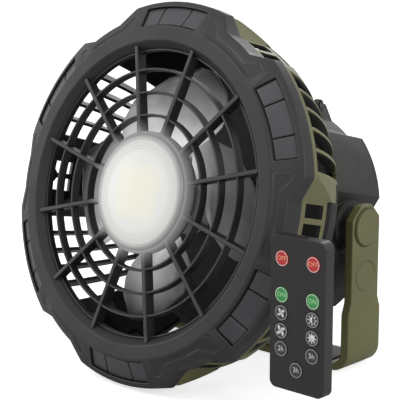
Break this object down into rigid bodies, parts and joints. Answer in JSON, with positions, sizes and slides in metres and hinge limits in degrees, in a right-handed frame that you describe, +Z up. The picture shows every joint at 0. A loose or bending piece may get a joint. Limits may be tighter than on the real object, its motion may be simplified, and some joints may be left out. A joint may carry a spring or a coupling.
{
  "type": "portable camping fan with remote",
  "caption": "Rechargeable camping fan with a six-lobed bezel, a lamp in the grille, a tilting U bracket stand, a folding hook and a card remote with round keys.",
  "frame": {"origin": "centre of the bracket's flat base on the ground", "axes": "+Z up, -Y the way the fan blows, X along the bracket's pivots"},
  "size_m": [0.2451, 0.1682, 0.2149],
  "materials": {
    "olive_plastic": "fine satin grain",
    "grey_pad": "matte",
    "charcoal_plastic": "fine grain",
    "window_plastic": "satin",
    "black_plastic": "satin",
    "washer_rubber": "matte",
    "lamp_plastic": "satin",
    "lamp_lens": "diffusing",
    "lamp_emitter": "phosphor",
    "lamp_board": "white coated",
    "screw_steel": "plated",
    "motor_steel": "drawn",
    "hook_steel": "polished wire",
    "port_steel": "tinned",
    "cell_steel": "film wrapped",
    "circuit_board": "solder mask",
    "light_guide": "frosted",
    "dark_button": "soft",
    "light_button": "soft",
    "blade_plastic": "smoked",
    "remote_plastic": "satin",
    "ir_window": "polished",
    "key_red": "film",
    "key_green": "film",
    "key_grey": "film"
  },
  "bodies": {
    "stand": {"bracket": "olive_plastic", "base_insert": "grey_pad", "pivot_bolts": "screw_steel", "pivot_nuts": "screw_steel", "pivot_caps": "olive_plastic", "friction_washers": "washer_rubber"},
    "head": {"vent_shell": "olive_plastic", "front_bezel": "charcoal_plastic", "front_grille": "charcoal_plastic", "rear_housing": "charcoal_plastic", "rear_cover": "charcoal_plastic", "window_pads": "window_plastic", "vent_struts": "black_plastic", "battery_tray": "black_plastic", "board_switches": "black_plastic", "lamp_housing": "lamp_plastic", "lamp_lens": "lamp_lens", "lamp_emitter": "lamp_emitter", "lamp_board": "lamp_board", "shell_screws": "screw_steel", "cover_screws": "screw_steel", "motor_screws": "screw_steel", "motor_can": "motor_steel", "charge_port": "port_steel", "output_port": "port_steel", "battery_cells": "cell_steel", "control_board": "circuit_board", "charge_lights": "light_guide"},
    "rotor": {"impeller": "blade_plastic", "motor_shaft": "screw_steel", "hub_cap": "black_plastic"},
    "hook": {"hook": "hook_steel"},
    "port_flap": {"port_flap": "black_plastic"},
    "fan_button": {"fan_button": "dark_button"},
    "lamp_button": {"lamp_button": "light_button"},
    "remote": {"remote_shell": "remote_plastic", "remote_face": "remote_plastic", "remote_board": "circuit_board", "remote_eye": "ir_window"},
    "remote_drawer": {"remote_tray": "black_plastic", "remote_cell": "cell_steel"},
    "key_wind_off": {"key_wind_off": "key_red"},
    "key_lamp_off": {"key_lamp_off": "key_red"},
    "key_wind_on": {"key_wind_on": "key_green"},
    "key_lamp_on": {"key_lamp_on": "key_green"},
    "key_wind_low": {"key_wind_low": "key_grey"},
    "key_lamp_low": {"key_lamp_low": "key_grey"},
    "key_wind_high": {"key_wind_high": "key_grey"},
    "key_lamp_high": {"key_lamp_high": "key_grey"},
    "key_2h": {"key_2h": "key_grey"},
    "key_5h": {"key_5h": "key_grey"},
    "key_3h": {"key_3h": "key_grey"}
  },
  "joints": [
    {"name": "head_tilt", "type": "hinge", "parent": "stand", "child": "head", "pos_m": [0, 0, 0.08546], "axis": [-1, 0, 0], "range_deg": [0, 140]},
    {"name": "rotor_spin", "type": "hinge", "parent": "head", "child": "rotor", "pos_m": [0, -0.0705, 0.10239], "axis": [0, -0.9724, 0.2334], "continuous": true},
    {"name": "hook_swing", "type": "hinge", "parent": "head", "child": "hook", "pos_m": [0, 0.02812, 0.14906], "axis": [-1, 0, 0], "range_deg": [0, 110]},
    {"name": "flap_swing", "type": "hinge", "parent": "head", "child": "port_flap", "pos_m": [0, 0.01701, 0.03767], "axis": [-1, 0, 0], "range_deg": [0, 110]},
    {"name": "fan_press", "type": "slide", "parent": "head", "child": "fan_button", "axis": [0, -0.9724, 0.2334], "range_m": [0, 0.0008], "stiffness_N_per_m": 1000, "springref_m": -0.0008},
    {"name": "lamp_press", "type": "slide", "parent": "head", "child": "lamp_button", "axis": [0, -0.9724, 0.2334], "range_m": [0, 0.0008], "stiffness_N_per_m": 1000, "springref_m": -0.0008},
    {"name": "remote_place", "type": "slide", "parent": "stand", "child": "remote", "axis": [0, 0, 1], "range_m": [-0.0225, 0]},
    {"name": "tray_pull", "type": "slide", "parent": "remote", "child": "remote_drawer", "axis": [0, 0, -1], "range_m": [0, 0.02]},
    {"name": "press_wind_off", "type": "slide", "parent": "remote", "child": "key_wind_off", "axis": [0, 1, 0], "range_m": [0, 0.0004], "stiffness_N_per_m": 1200, "springref_m": -0.0004},
    {"name": "press_lamp_off", "type": "slide", "parent": "remote", "child": "key_lamp_off", "axis": [0, 1, 0], "range_m": [0, 0.0004], "stiffness_N_per_m": 1200, "springref_m": -0.0004},
    {"name": "press_wind_on", "type": "slide", "parent": "remote", "child": "key_wind_on", "axis": [0, 1, 0], "range_m": [0, 0.0004], "stiffness_N_per_m": 1200, "springref_m": -0.0004},
    {"name": "press_lamp_on", "type": "slide", "parent": "remote", "child": "key_lamp_on", "axis": [0, 1, 0], "range_m": [0, 0.0004], "stiffness_N_per_m": 1200, "springref_m": -0.0004},
    {"name": "press_wind_low", "type": "slide", "parent": "remote", "child": "key_wind_low", "axis": [0, 1, 0], "range_m": [0, 0.0004], "stiffness_N_per_m": 1200, "springref_m": -0.0004},
    {"name": "press_lamp_low", "type": "slide", "parent": "remote", "child": "key_lamp_low", "axis": [0, 1, 0], "range_m": [0, 0.0004], "stiffness_N_per_m": 1200, "springref_m": -0.0004},
    {"name": "press_wind_high", "type": "slide", "parent": "remote", "child": "key_wind_high", "axis": [0, 1, 0], "range_m": [0, 0.0004], "stiffness_N_per_m": 1200, "springref_m": -0.0004},
    {"name": "press_lamp_high", "type": "slide", "parent": "remote", "child": "key_lamp_high", "axis": [0, 1, 0], "range_m": [0, 0.0004], "stiffness_N_per_m": 1200, "springref_m": -0.0004},
    {"name": "press_2h", "type": "slide", "parent": "remote", "child": "key_2h", "axis": [0, 1, 0], "range_m": [0, 0.0004], "stiffness_N_per_m": 1200, "springref_m": -0.0004},
    {"name": "press_5h", "type": "slide", "parent": "remote", "child": "key_5h", "axis": [0, 1, 0], "range_m": [0, 0.0004], "stiffness_N_per_m": 1200, "springref_m": -0.0004},
    {"name": "press_3h", "type": "slide", "parent": "remote", "child": "key_3h", "axis": [0, 1, 0], "range_m": [0, 0.0004], "stiffness_N_per_m": 1200, "springref_m": -0.0004}
  ]
}
